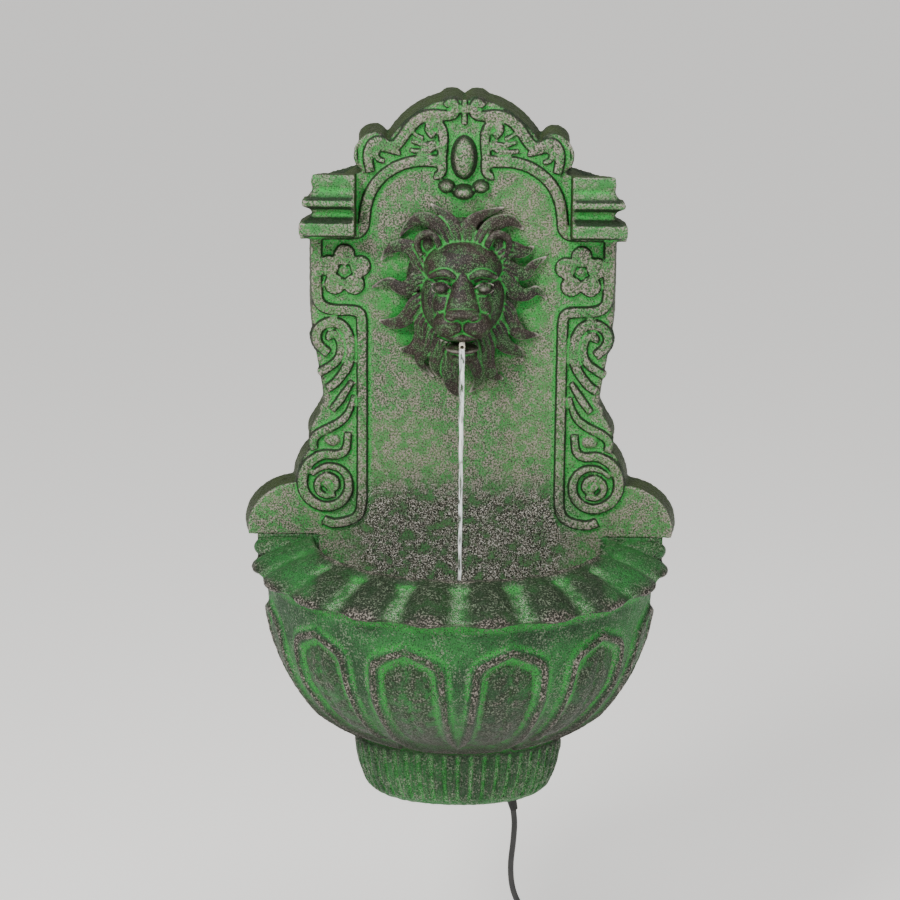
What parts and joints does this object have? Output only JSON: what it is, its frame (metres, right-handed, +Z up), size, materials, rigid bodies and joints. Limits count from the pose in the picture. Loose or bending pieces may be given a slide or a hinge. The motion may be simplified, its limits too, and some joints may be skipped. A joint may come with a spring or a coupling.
{
  "type": "garden wall fountain",
  "caption": "Wall-hung resin fountain: carved back panel with a lion mask spout above a half-round basin on a reeded foot, with a small recirculating pump and its lead.",
  "frame": {"origin": "midway between the two keyholes that the fountain hangs from, on the wall plane", "axes": "+X to the right as seen from the front, +Y into the wall, +Z up"},
  "size_m": [0.4866, 0.2699, 1.0978],
  "materials": {
    "verdigris_resin": "cast stone-filled resin, verdigris wash with grey wear",
    "bronzed_resin": "cast stone-filled resin, dark bronze wash",
    "zinc_steel": "zinc plated",
    "stainless_steel": "satin",
    "brass": "dull brass",
    "spout_pipe": "pale rigid pipe",
    "clear_hose": "clear flexible PVC",
    "pump_plastic": "moulded black plastic",
    "impeller_plastic": "moulded white plastic",
    "ferrite": "sintered magnet",
    "ceramic_white": "ceramic shaft",
    "black_rubber": "matt rubber",
    "sponge": "open-cell filter foam",
    "cord_jacket": "matt PVC jacket"
  },
  "bodies": {
    "fountain": {"back_panel": "verdigris_resin", "lion_mask": "bronzed_resin", "basin": "verdigris_resin", "hanger_plate_left": "zinc_steel", "hanger_plate_right": "zinc_steel", "hanger_screws": "zinc_steel", "joining_bolts": "stainless_steel", "joining_washers": "stainless_steel", "wing_nuts": "stainless_steel", "spout_tube": "spout_pipe", "spout_elbow": "pump_plastic", "spout_lock_nut": "pump_plastic", "riser_hose": "clear_hose", "hose_clips": "pump_plastic", "clip_screws": "stainless_steel", "pump_body": "pump_plastic", "suction_cups": "black_rubber", "rotor_bush_rear": "black_rubber", "rotor_bush_front": "black_rubber", "rotor_shaft": "ceramic_white", "impeller_cover": "pump_plastic", "pump_front_cover": "pump_plastic", "filter_sponge": "sponge", "pump_cord_boot": "black_rubber", "pump_lead": "cord_jacket", "cord_grommet": "black_rubber", "power_cord": "cord_jacket", "power_cord_coil": "cord_jacket", "power_cord_tail": "cord_jacket", "cord_tie": "black_rubber", "plug_body": "black_rubber", "plug_blades": "brass"},
    "rotor": {"rotor_magnet": "ferrite", "impeller": "impeller_plastic"},
    "slider": {"flow_slider": "pump_plastic"}
  },
  "joints": [
    {"name": "rotor_spin", "type": "hinge", "parent": "fountain", "child": "rotor", "pos_m": [-0.02, -0.04, -0.601], "axis": [1, 0, 0], "continuous": true},
    {"name": "flow_slide", "type": "slide", "parent": "fountain", "child": "slider", "axis": [0, 0, 1], "range_m": [0, 0.007]}
  ]
}
